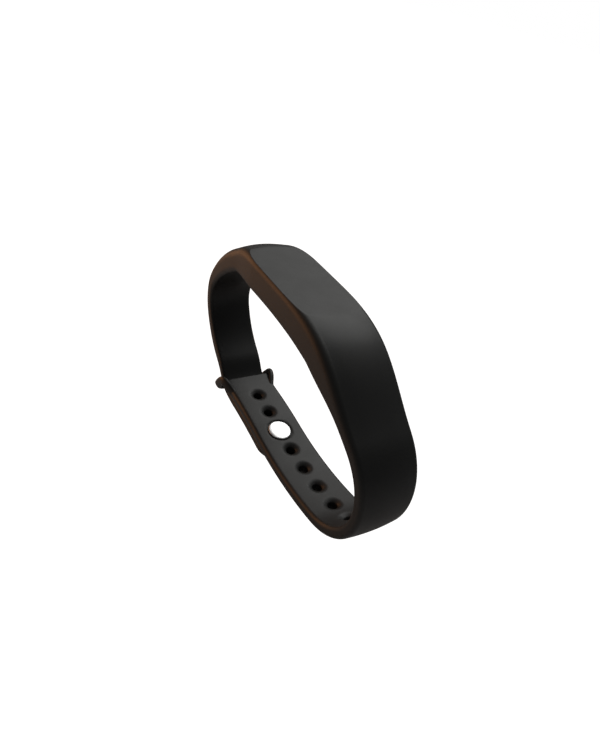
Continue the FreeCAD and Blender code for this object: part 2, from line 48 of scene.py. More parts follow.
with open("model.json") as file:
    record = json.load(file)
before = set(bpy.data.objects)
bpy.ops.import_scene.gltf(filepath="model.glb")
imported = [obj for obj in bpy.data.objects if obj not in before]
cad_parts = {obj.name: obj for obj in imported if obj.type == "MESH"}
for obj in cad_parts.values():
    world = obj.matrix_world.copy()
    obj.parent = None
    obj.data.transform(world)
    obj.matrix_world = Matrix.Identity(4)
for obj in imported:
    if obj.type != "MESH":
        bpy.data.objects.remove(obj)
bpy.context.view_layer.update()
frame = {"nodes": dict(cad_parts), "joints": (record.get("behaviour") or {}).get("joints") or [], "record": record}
JOINTS = {joint["name"]: joint for joint in frame["joints"]}
MM = 0.001

# Middle line of the band, as in the frame: start, heading in degrees, and
# tangent arcs of (length, turn in degrees), in millimetres.
PATH_START = np.array(JOINTS["near_flex"]["pos_m"][1:]) / MM
PATH_HEADING = -157.0
PATH_ARCS = (
    (21.5, 10.0),
    (38.0, 134.0),
    (30.5, 20.0),
    (16.0, -7.0),
    (31.0, 62.0),
    (13.0, 63.0),
    (19.0, 26.0),
)
PATH_LENGTH = sum(length for length, turn in PATH_ARCS)
LOOP_U = 110.4
STRAP_END_U = LOOP_U + 2.0
LOWER_FLEX_U = 48.0
TAIL_TOP_U = 110.9
TAIL_TIP_U = 81.3
FIRST_HOLE_U = 104.2
HOLE_PITCH = 7.3
HOLE_COUNT = 8
OCCUPIED_HOLE = 2
STUD_U = FIRST_HOLE_U - HOLE_PITCH * OCCUPIED_HOLE
# Where the short strap ends above the loop, where the tail starts below its
# top, and the air between the tail and the hole strap.
SHORT_END_GAP = 0.75
TAIL_TOP_GAP = 0.12
TAIL_AIR = 0.2
# Largest share of the thickness that a corner may take.
CORNER_LIMIT = 0.48
BORE_NARROWING = 0.5
STUD_SEAT_DEPTH = 0.45
STUD_HEAD_RADIUS = 3.2
DIMPLE_DEPTH = 0.22
FLOOR_CLEARANCE = 2.0
# Length of the pod along the rails, in millimetres.
POD_SPAN = 46.0

# How the band swells on both faces towards the pod, in millimetres: a swell
# eases from its full height at the pod to nothing at its length.
NEAR_OUTER_SWELL = (2.4, 21.0)
NEAR_INNER_SWELL = (1.7, 17.0)
NEAR_THICKENING = (0.6, 20.0, 46.0)
FAR_OUTER_SWELL = (1.8, 33.0)
FAR_INNER_SWELL = (1.65, 30.0)
FAR_INNER_OFFSET = 1.8
FAR_THICKENING_LENGTH = 12.0
STRAP_END_THINNING = 0.5
CROSSING_START = 1.0
CROSSING_LENGTH = 9.0
POD_TOP_RISE = 0.7
POD_NEAR_POWER = 3.3
POD_FAR_POWER = 4.6
POD_UNDERSIDE = -7.75


# ---- settings ---------------------------------------------------------------

def length(name, description, default):
    """Length setting in metres."""
    return bpy.props.FloatProperty(name=name, description=description, default=default, unit="LENGTH")


def colour(name, description, default):
    """Colour setting."""
    return bpy.props.FloatVectorProperty(
        name=name, description=description, default=default, size=3, min=0.0, max=1.0, subtype="COLOR")


class BandSettings(bpy.types.PropertyGroup):
    """Sizes of the silicone moulding."""

    strap_thickness: length("Strap thickness", "Thickness of the long strap", 0.0029)
    tail_thickness: length("Tail thickness", "Thickness of the short strap", 0.0022)
    pod_width: length("Pod width", "Widest part of the pod", 0.0179)
    strap_width: length("Long strap width", "Width of the long strap at its holes", 0.0143)
    short_width: length("Short strap width", "Width of the short strap and tail", 0.0134)
    edge_softness: length("Edge softness", "Corner radius along the straps", 0.0011)
    crown: length("Crown", "How far the outer face bulges in its middle", 0.00028)
    dimple_radius: length("Dimple radius", "Radius of the dimple round each hole", 0.0029)
    hole_radius: length("Hole radius", "Radius of each fastening hole", 0.00125)


class FinishSettings(bpy.types.PropertyGroup):
    """Colours and grain of the finishes."""

    silicone: colour("Silicone", "Colour of the soft-touch silicone", (0.0055, 0.0054, 0.0051))
    stud: colour("Stud", "Colour of the polished stud", (0.93, 0.93, 0.94))
    shell: colour("Core shell", "Colour of the core's plastic shell", (0.021, 0.021, 0.023))
    grain: length("Grain size", "Size of the moulded soft-touch grain", 0.00016)


class StageSettings(bpy.types.PropertyGroup):
    """Camera and light."""

    camera_place: bpy.props.FloatVectorProperty(
        name="Camera place", description="Where the camera stands", default=(-0.06757, -0.09561, 0.05886),
        size=3, subtype="TRANSLATION", unit="LENGTH")
    camera_turn: bpy.props.FloatVectorProperty(
        name="Camera turn", description="How the camera is turned",
        default=(math.radians(52.48), math.radians(-11.52), math.radians(-29.0)), size=3, subtype="EULER")
    lens: bpy.props.FloatProperty(name="Lens", description="Focal length in millimetres", default=25.88)
    back_strength: bpy.props.FloatProperty(
        name="Back light", description="Strength of the broad light behind", default=1.35)
    back_from: bpy.props.FloatVectorProperty(
        name="Back light from", description="Direction the broad light comes from", default=(0.6, 0.52, 0.9),
        size=3, subtype="DIRECTION")
    fill: bpy.props.FloatProperty(
        name="Fill", description="Brightness of the even white light all round", default=0.09)
    warm_power: bpy.props.FloatProperty(
        name="Warm light", description="Power of the low warm light at the side",
        default=0.3, subtype="POWER")


# ---- the band as two rails --------------------------------------------------

def path_at(u):
    """Points (y, z) and headings of the middle line at arc lengths u.
    Along each arc the heading grows evenly, h = h0 + k s, so the point moves by
    (sin h - sin h0) / k along Y and (cos h0 - cos h) / k along Z."""
    u = np.asarray(u, float)
    points = np.tile(PATH_START, (u.size, 1))
    heading = np.full(u.size, math.radians(PATH_HEADING))
    covered = 0.0
    for length, turn in PATH_ARCS:
        step = np.clip(u - covered, 0.0, length)
        curvature = math.radians(turn) / length
        following = heading + curvature * step
        points[:, 0] += (np.sin(following) - np.sin(heading)) / curvature
        points[:, 1] += (np.cos(heading) - np.cos(following)) / curvature
        heading = following
        covered += length
    return points, heading


def outward_at(heading):
    """Unit normals in the YZ plane, pointing away from the wrist."""
    return np.stack([np.sin(heading), -np.cos(heading)], 1)


def frame_at(u):
    """Point, direction along the band and outward normal at one arc length."""
    points, heading = path_at([u])
    along = np.array([math.cos(heading[0]), math.sin(heading[0])])
    return points[0], along, outward_at(heading)[0]


def smooth_step(value):
    """3 v^2 - 2 v^3, held at 0 and 1 outside that range."""
    bounded = np.clip(value, 0.0, 1.0)
    return bounded * bounded * (3.0 - 2.0 * bounded)


def tail_offset(settings):
    """How far the tail's middle lies outside the hole strap's."""
    return (settings.strap_thickness + settings.tail_thickness) / (2 * MM) + TAIL_AIR


def fall(distance, length):
    """1 at no distance, easing to 0 at length."""
    return 1.0 - smooth_step(distance / length)


def crossing_offset(u, settings):
    """How far the short strap stands out where it rises over the loop."""
    return tail_offset(settings) * fall(u - LOOP_U - CROSSING_START, CROSSING_LENGTH)


def short_offsets(u, settings):
    """Distances of the short strap's outer and inner face from the middle line."""
    thin = settings.tail_thickness / (2 * MM)
    lift = crossing_offset(u, settings)
    reach = PATH_LENGTH - u
    outer = thin + lift + FAR_OUTER_SWELL[0] * fall(reach, FAR_OUTER_SWELL[1])
    thickening = 1.0 - fall(u - LOOP_U - CROSSING_START, FAR_THICKENING_LENGTH)
    inner = thin + (FAR_INNER_OFFSET - thin) * thickening - lift
    return outer, inner + FAR_INNER_SWELL[0] * fall(reach, FAR_INNER_SWELL[1])


def long_offsets(u, settings):
    """Distances of the long strap's outer and inner face from the middle line."""
    half = settings.strap_thickness / (2 * MM)
    height, start, end = NEAR_THICKENING
    thinning = STRAP_END_THINNING * fall(STRAP_END_U - u, 4.0)
    outer = half + NEAR_OUTER_SWELL[0] * fall(u, NEAR_OUTER_SWELL[1]) - thinning
    inner = half + NEAR_INNER_SWELL[0] * fall(u, NEAR_INNER_SWELL[1]) + height * fall(u - start, end - start)
    return outer, inner


class Rails:
    """The band from the keeper loop up the short strap, over the pod and down
    the long strap, as an outer and an inner rail in the YZ plane. Station w is
    u on the short strap, then one pod span, then the long strap's u. The pod's
    top is rise - (rise - end) s^power and its underside middle + (end - middle)
    s^2, with s running from 0 at the middle to 1 at either end. All values are
    softened along w with a bell curve, so that the stretches flow together."""

    STEP = 0.25
    SOFTENING = 4.0

    def __init__(self, settings):
        short_u = np.arange(LOOP_U + SHORT_END_GAP, PATH_LENGTH, self.STEP)
        long_u = np.arange(0.0, STRAP_END_U + self.STEP / 2, self.STEP)
        share = np.arange(1.0, -1.0, -2 * self.STEP / POD_SPAN)
        short_outer, short_inner = self.faces(short_u, short_offsets(short_u, settings))
        long_outer, long_inner = self.faces(long_u, long_offsets(long_u, settings))
        end_u = np.array([PATH_LENGTH])
        far_outer, far_inner = self.faces(end_u, short_offsets(end_u, settings))
        near_outer, near_inner = long_outer[0], long_inner[0]
        size = np.abs(share)[:, None]
        far_side = (share > 0)[:, None]
        outer_end = np.where(far_side, far_outer[0], near_outer)
        inner_end = np.where(far_side, far_inner[0], near_inner)
        power = np.where(far_side, POD_FAR_POWER, POD_NEAR_POWER)
        top = POD_TOP_RISE - (POD_TOP_RISE - outer_end[:, 1:]) * size ** power
        low = POD_UNDERSIDE + (inner_end[:, 1:] - POD_UNDERSIDE) * size ** 2
        pod_outer = np.concatenate([outer_end[:, :1] * size, top], 1)
        pod_inner = np.concatenate([inner_end[:, :1] * size, low], 1)
        self.w = np.concatenate([
            short_u, PATH_LENGTH + (1.0 - share) / 2 * POD_SPAN, PATH_LENGTH + POD_SPAN + long_u])
        self.outer = self.soften(np.concatenate([short_outer, pod_outer, long_outer]), self.SOFTENING)
        self.inner = self.soften(np.concatenate([short_inner, pod_inner, long_inner]), self.SOFTENING)

    @staticmethod
    def faces(u, offsets):
        """Outer and inner points at u, at the given distances from the middle."""
        points, heading = path_at(u)
        normal = outward_at(heading)
        return points + normal * offsets[0][:, None], points - normal * offsets[1][:, None]

    @staticmethod
    def soften(values, width):
        """Weighted mean of the neighbours, weights exp(-(i / width)^2 / 2). The
        ends are carried on in a straight line so that they stay in place."""
        reach = int(4 * width)
        steps = np.arange(reach, 0, -1)[:, None]
        before = values[0] - (values[1] - values[0]) * steps
        after = values[-1] + (values[-1] - values[-2]) * steps[::-1]
        padded = np.concatenate([before, values, after])
        weights = np.exp(-0.5 * (np.arange(-reach, reach + 1) / width) ** 2)
        weights /= weights.sum()
        return np.stack([np.convolve(column, weights, "valid") for column in padded.T], 1)

    def at(self, w):
        """Outer and inner points at stations w."""
        outer = np.stack([np.interp(w, self.w, self.outer[:, axis]) for axis in (0, 1)], 1)
        inner = np.stack([np.interp(w, self.w, self.inner[:, axis]) for axis in (0, 1)], 1)
        return outer, inner


def blend_values(w, knots):
    """Values at stations w, eased between (station, value) knots."""
    stations = np.array([knot[0] for knot in knots])
    values = np.array([knot[1] for knot in knots])
    index = np.clip(np.searchsorted(stations, w) - 1, 0, len(knots) - 2)
    share = smooth_step((w - stations[index]) / (stations[index + 1] - stations[index]))
    return values[index] + (values[index + 1] - values[index]) * share


POD_START_W = PATH_LENGTH
LONG_START_W = PATH_LENGTH + POD_SPAN


def section_sizes(w, settings):
    """Half widths, corner radii, crown and half width of the evenly spaced
    middle of each face, at stations w on the rails."""
    pod = settings.pod_width / (2 * MM)
    strap = settings.strap_width / (2 * MM)
    short = settings.short_width / (2 * MM)
    edge = settings.edge_softness / MM
    crown = settings.crown / MM
    far, near = POD_START_W, LONG_START_W
    knots = {
        "half": (
            (110, short), (139, short), (far, 8.0), (far + 14, pod), (near, pod - 0.05),
            (near + 50, strap), (near + 111, strap)),
        "outer_corner": (
            (110, 0.7), (136, 0.75), (far, 2.4), (far + 14, 2.0), (near + 2, 2.0),
            (near + 36, edge), (near + 106, edge), (near + 111, 0.7)),
        "inner_corner": (
            (110, 0.7), (136, 0.8), (far, 1.6), (far + 12, 1.8), (near - 10, 1.8),
            (near, 1.5), (near + 36, edge), (near + 111, edge)),
        "crown": (
            (110, 0.12), (140, 0.15), (far - 3, 0.7), (far + 12, 0.0), (near - 12, 0.0), (near + 2, 0.75),
            (near + 34, crown + 0.1), (near + 60, crown), (near + 106, crown), (near + 111, 0.0)),
        "middle": (
            (110, 4.4), (far - 8, 4.4), (far + 2, 6.2), (far + 8, 6.45), (near - 8, 6.45),
            (near - 2, 6.2), (near + 8, 4.4), (near + 111, 4.4)),
    }
    return {name: blend_values(w, values) for name, values in knots.items()}


MIDDLE_COLUMNS = 20
MARGIN_COLUMNS = 2
CORNER_STEPS = 8
SIDE_STEPS = 5
FACE_COLUMNS = MIDDLE_COLUMNS + 2 * MARGIN_COLUMNS
CREASE_WIDTH = 0.14


def ring_points(outer, inner, sizes):
    """Closed rounded sections, one per station: inner face from -X to +X, a
    corner arc, the side, a corner arc, then the outer face back and the other
    side. Where the outer face stands above Z = 0 its corner arc stops at that
    plane, sin(turn) = 1 - height / radius, and the face lies in the plane.
    Returns an array of stations x section points x 3."""
    across = outer - inner
    thickness = np.linalg.norm(across, axis=1)[:, None]
    ones = np.ones((len(thickness), 1))
    half, middle = sizes["half"][:, None] * ones, sizes["middle"][:, None] * ones
    outer_r = np.minimum(sizes["outer_corner"][:, None], CORNER_LIMIT * thickness)
    inner_r = np.minimum(sizes["inner_corner"][:, None], CORNER_LIMIT * thickness)
    crown = sizes["crown"][:, None]
    upright = across[:, 1:] / thickness
    cut = np.clip(outer[:, 1:] / np.maximum(upright, 0.5), 0.0, 0.9 * outer_r)
    last_turn = np.arcsin(1.0 - cut / outer_r)
    crease = half - outer_r + outer_r * np.cos(last_turn)
    even = np.linspace(-1.0, 1.0, MIDDLE_COLUMNS + 1)[None, :]

    def face_x(edge, inset):
        middle_block = np.minimum(middle, edge - inset - 0.1)
        right = np.concatenate([edge - inset, edge], 1)
        return np.concatenate([-right[:, ::-1], middle_block * even, right], 1)

    inner_edge = half - inner_r
    inner_x = face_x(inner_edge, 0.35 * (inner_edge - np.minimum(middle, inner_edge - 0.2)))
    inner_n = np.zeros_like(inner_x)
    outer_x = face_x(crease, CREASE_WIDTH * ones)[:, ::-1]
    outer_n = thickness - cut + crown * (1.0 - (outer_x / crease) ** 2)
    turn = np.linspace(0.0, 1.0, CORNER_STEPS + 1)[None, 1:-1]
    low_turn = turn * math.pi / 2
    low_x = half - inner_r + inner_r * np.sin(low_turn)
    low_n = inner_r * (1.0 - np.cos(low_turn))
    high_turn = np.minimum(turn * 1.06, 0.985) * last_turn
    high_x = half - outer_r + outer_r * np.cos(high_turn)
    high_n = thickness - outer_r + outer_r * np.sin(high_turn)
    rise = np.linspace(0.0, 1.0, SIDE_STEPS + 1)[None, :]
    side_n = inner_r + (thickness - outer_r - inner_r) * rise
    side_x = half * np.ones_like(rise)
    x = np.concatenate([inner_x, low_x, side_x, high_x, outer_x,
                        -high_x[:, ::-1], -side_x[:, ::-1], -low_x[:, ::-1]], 1)
    n = np.concatenate([inner_n, low_n, side_n, high_n, outer_n,
                        high_n[:, ::-1], side_n[:, ::-1], low_n[:, ::-1]], 1)
    return below_facet(place(x, n / thickness, outer, inner))


def below_facet(points):
    """Presses anything above the plane Z = 0 down onto it, with a soft turn:
    z becomes (z - sqrt(z^2 + soft^2)) / 2."""
    soft = 0.05
    z = points[..., 2]
    points[..., 2] = np.where(z > -2.0, 0.5 * (z - np.sqrt(z * z + soft * soft)), z)
    return points


def place(x, share, outer, inner):
    """Carries section coordinates (x, share of the way from inner to outer
    rail) to space."""
    y = inner[:, 0][:, None] + (outer - inner)[:, 0][:, None] * share
    z = inner[:, 1][:, None] + (outer - inner)[:, 1][:, None] * share
    return np.stack([x, y, z], 2)


SECTION_POINTS = 2 * FACE_COLUMNS + 2 + 4 * (CORNER_STEPS - 1) + 2 * (SIDE_STEPS + 1)
OUTER_FACE_START = FACE_COLUMNS + 1 + 2 * (CORNER_STEPS - 1) + SIDE_STEPS + 1


def tube_faces(rings, points, first=0):
    """Quads between neighbouring rings, as a rings-1 x points x 4 array."""
    ring = np.arange(rings - 1)[:, None]
    point = np.arange(points)[None, :]
    following = (point + 1) % points
    a = first + ring * points + point
    b = first + ring * points + following
    c = first + (ring + 1) * points + following
    d = first + (ring + 1) * points + point
    return np.stack([a, b, c, d], 2)


class Patchwork:
    """Vertices and faces of one closed piece, gathered as arrays."""

    def __init__(self):
        self.vertices = []
        self.faces = []
        self.polygons = []
        self.count = 0

    def add_vertices(self, points):
        points = np.asarray(points, float).reshape(-1, 3)
        first = self.count
        self.vertices.append(points)
        self.count += len(points)
        return first

    def add_quads(self, quads):
        self.faces.append(np.asarray(quads).reshape(-1, 4))

    def add_triangles(self, triangles):
        self.polygons += np.asarray(triangles).tolist()

    def add_polygon(self, indices):
        self.polygons.append([int(index) for index in indices])

    def finish(self, name, slot, material, sharp_angle=50.0):
        vertices = np.concatenate(self.vertices) * MM
        faces = np.concatenate(self.faces).tolist() + self.polygons
        mesh = bpy.data.meshes.new(name)
        mesh.from_pydata(vertices.tolist(), [], faces)
        mesh.validate()
        mesh.update()
        mesh.shade_smooth()
        mesh.set_sharp_from_angle(angle=math.radians(sharp_angle))
        piece = bpy.data.objects.new(name, mesh)
        bpy.context.scene.collection.objects.link(piece)
        mesh.materials.append(material)
        if signed_volume(mesh) < 0:
            mesh.flip_normals()
        return piece


def signed_volume(mesh):
    """Sum of the tetrahedra from the origin to each triangle, which is
    positive where the faces point outwards."""
    mesh.calc_loop_triangles()
    corners = np.empty(len(mesh.loop_triangles) * 3, np.int32)
    mesh.loop_triangles.foreach_get("vertices", corners)
    points = np.empty(len(mesh.vertices) * 3, np.float32)
    mesh.vertices.foreach_get("co", points)
    triangles = points.reshape(-1, 3)[corners.reshape(-1, 3)].astype(float)
    across = np.cross(triangles[:, 1], triangles[:, 2])
    return float(np.einsum("ij,ij->i", triangles[:, 0], across).sum() / 6)


def perimeter(low_ring, high_ring, low_column, high_column):
    """Ring and column numbers once round a rectangle of the grid."""
    rings = np.concatenate([
        np.arange(low_ring, high_ring), np.full(high_column - low_column, high_ring),
        np.arange(high_ring, low_ring, -1), np.full(high_column - low_column, low_ring)])
    columns = np.concatenate([
        np.full(high_ring - low_ring, low_column), np.arange(low_column, high_column),
        np.full(high_ring - low_ring, high_column), np.arange(high_column, low_column, -1)])
    return rings, columns


def loop_quads(first_loop, second_loop):
    """Quads between two closed loops of vertex numbers of the same length."""
    a, b = np.asarray(first_loop), np.asarray(second_loop)
    return np.stack([a, np.roll(a, -1), np.roll(b, -1), b], 1)


def grid_vertex(first, ring, section):
    return first + ring * SECTION_POINTS + section


def stations_between(start, end, step):
    count = max(2, int(round(abs(end - start) / step)) + 1)
    return np.linspace(start, end, count)


def band_grid(work, rails, stations, settings):
    """Adds the grid of the band at the stations and returns its first vertex,
    its quads, ready for patches to be taken out, and its points."""
    outer, inner = rails.at(stations)
    points = ring_points(outer, inner, section_sizes(stations, settings))
    first = work.add_vertices(points)
    return first, tube_faces(len(stations), SECTION_POINTS, first), points


def close_ends(work, first, rings, points=SECTION_POINTS):
    """Closes the first and the last ring of a grid with one face each."""
    work.add_polygon(range(first + points - 1, first - 1, -1))
    last = first + (rings - 1) * points
    work.add_polygon(range(last, last + points))


def strap_surface_point(w, x, share, rails, settings):
    """Points of the strap at station w, x across and share of its thickness,
    0 on the skin side and 1 on the crowned outer face."""
    outer, inner = rails.at(w)
    sizes = section_sizes(w, settings)
    thickness = np.linalg.norm(outer - inner, axis=1)
    flat = sizes["half"] - np.minimum(sizes["outer_corner"], CORNER_LIMIT * thickness)
    crown = sizes["crown"] * (1.0 - (x / flat) ** 2)
    full = share * (1.0 + crown / thickness)
    return place(x[:, None], full[:, None], outer, inner)[:, 0, :]


def hole_profile(settings, stud_here):
    """(radius, share of the thickness) down the dimple and through the hole:
    a bowl that steepens towards the middle, share = depth times bowl^1.8, a
    bore that narrows a little unless the stud goes through it, and a soft
    outer rim."""
    dimple = settings.dimple_radius / MM
    bore = settings.hole_radius / MM
    bowl = np.linspace(0.0, 1.0, 9)
    radius = dimple + (bore + 0.12 - dimple) * bowl
    share = DIMPLE_DEPTH * bowl ** 1.8
    lip = [(bore + 0.03, DIMPLE_DEPTH + 0.05), (bore, DIMPLE_DEPTH + 0.12)]
    end = bore if stud_here else bore - BORE_NARROWING
    rest = [(0.5 * (bore + end), 0.66), (end, 0.92), (end + 0.06, 0.965), (end + 0.2, 1.0)]
    return list(zip(radius, share)) + lip + rest


def add_hole(work, first, ring_low, ring_high, stations, points, rails, settings, stud_here):
    """Replaces one cell of the grid, on both faces, by rings that turn from the
    cell's rectangle to a circle, down the dimple, through and out again."""
    low_column = MARGIN_COLUMNS
    high_column = MARGIN_COLUMNS + MIDDLE_COLUMNS
    rings, columns = perimeter(ring_low, ring_high, low_column, high_column)
    inner_loop = grid_vertex(first, rings, columns)
    outer_section = OUTER_FACE_START + FACE_COLUMNS - columns
    outer_loop = grid_vertex(first, rings, outer_section)
    centre = 0.5 * (stations[ring_low] + stations[ring_high])
    edge_w = stations[rings] - centre
    edge_x = points[rings, columns, 0]
    angle = np.arctan2(edge_x, edge_w)
    circle_w, circle_x = np.cos(angle), np.sin(angle)
    profile = hole_profile(settings, stud_here)
    loops = [inner_loop]

    def add_loop(offset_w, x, share):
        spots = strap_surface_point(centre + offset_w, x, np.full(x.size, share), rails, settings)
        start = work.add_vertices(spots)
        loops.append(np.arange(start, start + x.size))

    rim = profile[0][0]
    for blend in (0.25, 0.5, 0.75):
        add_loop(edge_w + (circle_w * rim - edge_w) * blend,
                 edge_x + (circle_x * rim - edge_x) * blend, 0.0)
    for radius, share in profile:
        add_loop(circle_w * radius, circle_x * radius, share)
    last = profile[-1][0]
    for blend in (0.7, 0.4, 0.15):
        add_loop(edge_w + (circle_w * last - edge_w) * blend,
                 edge_x + (circle_x * last - edge_x) * blend, 1.0)
    loops.append(outer_loop)
    for one, other in zip(loops[:-1], loops[1:]):
        work.add_quads(loop_quads(one, other))


def without_cell(mask, ring_low, ring_high, both_faces):
    """Clears the grid's quads inside one cell."""
    low, high = MARGIN_COLUMNS, MARGIN_COLUMNS + MIDDLE_COLUMNS
    mask[ring_low:ring_high, low:high] = False
    if both_faces:
        start = OUTER_FACE_START + FACE_COLUMNS
        mask[ring_low:ring_high, start - high:start - low] = False


# ---- materials --------------------------------------------------------------

def new_group(name, inputs, outputs):
    """Empty shader node group with named sockets."""
    group = bpy.data.node_groups.new(name, "ShaderNodeTree")
    for label, kind, default in inputs:
        socket = group.interface.new_socket(name=label, in_out="INPUT", socket_type=kind)
        socket.default_value = default
    for label, kind in outputs:
        group.interface.new_socket(name=label, in_out="OUTPUT", socket_type=kind)
    entry = group.nodes.new("NodeGroupInput")
    leave = group.nodes.new("NodeGroupOutput")
    return group, entry, leave


def math_node(tree, operation, first, second):
    """Math node with links or numbers on its two inputs."""
    node = tree.nodes.new("ShaderNodeMath")
    node.operation = operation
    for socket, value in zip(node.inputs, (first, second)):
        if isinstance(value, (int, float)):
            socket.default_value = value
        else:
            tree.links.new(value, socket)
    return node.outputs[0]


def noise_node(tree, vector, scale, detail=2.0, roughness=0.5):
    node = tree.nodes.new("ShaderNodeTexNoise")
    tree.links.new(vector, node.inputs["Vector"])
    if isinstance(scale, (int, float)):
        node.inputs["Scale"].default_value = scale
    else:
        tree.links.new(scale, node.inputs["Scale"])
    node.inputs["Detail"].default_value = detail
    node.inputs["Roughness"].default_value = roughness
    return node.outputs["Fac"]


def mix_colours(tree, factor, first, second):
    """Colour between two, which are links or colours, by a linked factor."""
    node = tree.nodes.new("ShaderNodeMix")
    node.data_type = "RGBA"
    tree.links.new(factor, node.inputs["Factor"])
    for label, value in (("A", first), ("B", second)):
        if isinstance(value, tuple):
            node.inputs[label].default_value = value
        else:
            tree.links.new(value, node.inputs[label])
    return node.outputs["Result"]


def spread(tree, value, low, high):
    """Carries a linked value from 0..1 to low..high."""
    node = tree.nodes.new("ShaderNodeMapRange")
    node.inputs["To Min"].default_value = low
    node.inputs["To Max"].default_value = high
    tree.links.new(value, node.inputs["Value"])
    return node.outputs["Result"]


def start_finish(name, second, pattern, rough):
    """Finish group with two colours, its pattern socket and a span of roughness."""
    kind, label, default = pattern
    group, entry, leave = new_group(
        name,
        [("Base", "NodeSocketColor", (0.02, 0.02, 0.02, 1)),
         (second, "NodeSocketColor", (0.05, 0.05, 0.05, 1)),
         (label, kind, default), ("Roughness low", "NodeSocketFloat", rough[0]),
         ("Roughness high", "NodeSocketFloat", rough[1])],
        [("Colour", "NodeSocketColor"), ("Roughness", "NodeSocketFloat"), ("Height", "NodeSocketFloat")])
    coordinates = group.nodes.new("ShaderNodeTexCoord").outputs["Object"]
    return group, entry.outputs, leave.inputs, coordinates


def end_finish(group, entry, leave, second, tint, slow, height):
    """Joins up a finish group: the tint mixes its colours and the slow noise
    moves its roughness from low to high."""
    group.links.new(mix_colours(group, tint, entry["Base"], entry[second]), leave["Colour"])
    span = math_node(group, "SUBTRACT", entry["Roughness high"], entry["Roughness low"])
    rough = math_node(group, "ADD", entry["Roughness low"], math_node(group, "MULTIPLY", span, slow))
    group.links.new(rough, leave["Roughness"])
    group.links.new(height, leave["Height"])
    return group


def build_moulded_grain():
    """Soft-touch grain: a fine speckle for the bump, and slow clouds where the
    skin is a little smoother or greyer."""
    group, entry, leave, coordinates = start_finish(
        "Moulded grain", "Lift", ("NodeSocketFloat", "Grain scale", 6000.0), (0.5, 0.65))
    fine = noise_node(group, coordinates, entry["Grain scale"], 2.0, 0.6)
    coarse = noise_node(group, coordinates, math_node(group, "MULTIPLY", entry["Grain scale"], 0.27), 1.0)
    clouds = noise_node(group, coordinates, 140.0, 3.0, 0.55)
    speckled = math_node(group, "ADD", clouds, math_node(group, "MULTIPLY", fine, 0.35))
    tint = math_node(group, "MULTIPLY", speckled, 0.42)
    fine_height = math_node(group, "MULTIPLY", fine, 0.65)
    coarse_height = math_node(group, "MULTIPLY", coarse, 0.35)
    height = math_node(group, "ADD", fine_height, coarse_height)
    return end_finish(group, entry, leave, "Lift", tint, clouds, height)


def build_fine_brush():
    """Turned or drawn metal: noise stretched along one axis for the scratches,
    with slow variation in how polished it is."""
    group, entry, leave, coordinates = start_finish(
        "Fine brush", "Dark", ("NodeSocketVector", "Stretch", (400.0, 6000.0, 400.0)), (0.12, 0.3))
    scaled = group.nodes.new("ShaderNodeVectorMath")
    scaled.operation = "MULTIPLY"
    group.links.new(coordinates, scaled.inputs[0])
    group.links.new(entry["Stretch"], scaled.inputs[1])
    lines = noise_node(group, scaled.outputs[0], 1.0, 3.0, 0.6)
    slow = noise_node(group, coordinates, 260.0, 2.0)
    tint = math_node(group, "MULTIPLY", lines, 0.7)
    return end_finish(group, entry, leave, "Dark", tint, slow, lines)


def start_material(name):
    material = bpy.data.materials.new(name)
    material.use_nodes = True
    tree = material.node_tree
    shader = tree.nodes["Principled BSDF"]
    return material, tree, shader


def add_bump(tree, shader, height, distance, strength):
    bump = tree.nodes.new("ShaderNodeBump")
    bump.inputs["Distance"].default_value = distance
    bump.inputs["Strength"].default_value = strength
    tree.links.new(height, bump.inputs["Height"])
    tree.links.new(bump.outputs["Normal"], shader.inputs["Normal"])


def finish_material(name, group, base, second, pattern, rough, bump, **constants):
    """Material from a finish group: its two colours, the size or stretch of its
    pattern, its span of roughness, and the distance and strength of its bump."""
    material, tree, shader = start_material(name)
    node = tree.nodes.new("ShaderNodeGroup")
    node.node_tree = group
    for socket, value in zip(node.inputs, ((*base, 1), (*second, 1), pattern, *rough)):
        socket.default_value = value
    tree.links.new(node.outputs["Colour"], shader.inputs["Base Color"])
    tree.links.new(node.outputs["Roughness"], shader.inputs["Roughness"])
    add_bump(tree, shader, node.outputs["Height"], *bump)
    for socket, value in constants.items():
        shader.inputs[socket.replace("_", " ")].default_value = value
    return material


def board_material():
    """Green solder mask with a grid of copper tracks just under it."""
    material, tree, shader = start_material("Board")
    coordinates = tree.nodes.new("ShaderNodeTexCoord").outputs["Object"]
    brick = tree.nodes.new("ShaderNodeTexBrick")
    tree.links.new(coordinates, brick.inputs["Vector"])
    brick.inputs["Scale"].default_value = 520.0
    brick.inputs["Mortar Size"].default_value = 0.05
    brick.inputs["Color1"].default_value = (0.012, 0.085, 0.03, 1)
    brick.inputs["Color2"].default_value = (0.014, 0.1, 0.036, 1)
    brick.inputs["Mortar"].default_value = (0.05, 0.2, 0.07, 1)
    tree.links.new(brick.outputs["Color"], shader.inputs["Base Color"])
    tree.links.new(spread(tree, noise_node(tree, coordinates, 900.0), 0.3, 0.42), shader.inputs["Roughness"])
    add_bump(tree, shader, brick.outputs["Fac"], 0.00003, 0.4)
    return material


def guide_material():
    """Clear moulded light guide with faint flow marks."""
    material, tree, shader = start_material("Clear guide")
    coordinates = tree.nodes.new("ShaderNodeTexCoord").outputs["Object"]
    flow = noise_node(tree, coordinates, 700.0, 2.0)
    tree.links.new(spread(tree, flow, 0.05, 0.16), shader.inputs["Roughness"])
    tint = mix_colours(tree, flow, (0.86, 0.9, 0.92, 1), (0.95, 0.97, 0.98, 1))
    tree.links.new(tint, shader.inputs["Base Color"])
    add_bump(tree, shader, flow, 0.00002, 0.2)
    shader.inputs["Transmission Weight"].default_value = 0.85
    shader.inputs["IOR"].default_value = 1.5
    return material


MATERIALS = {}
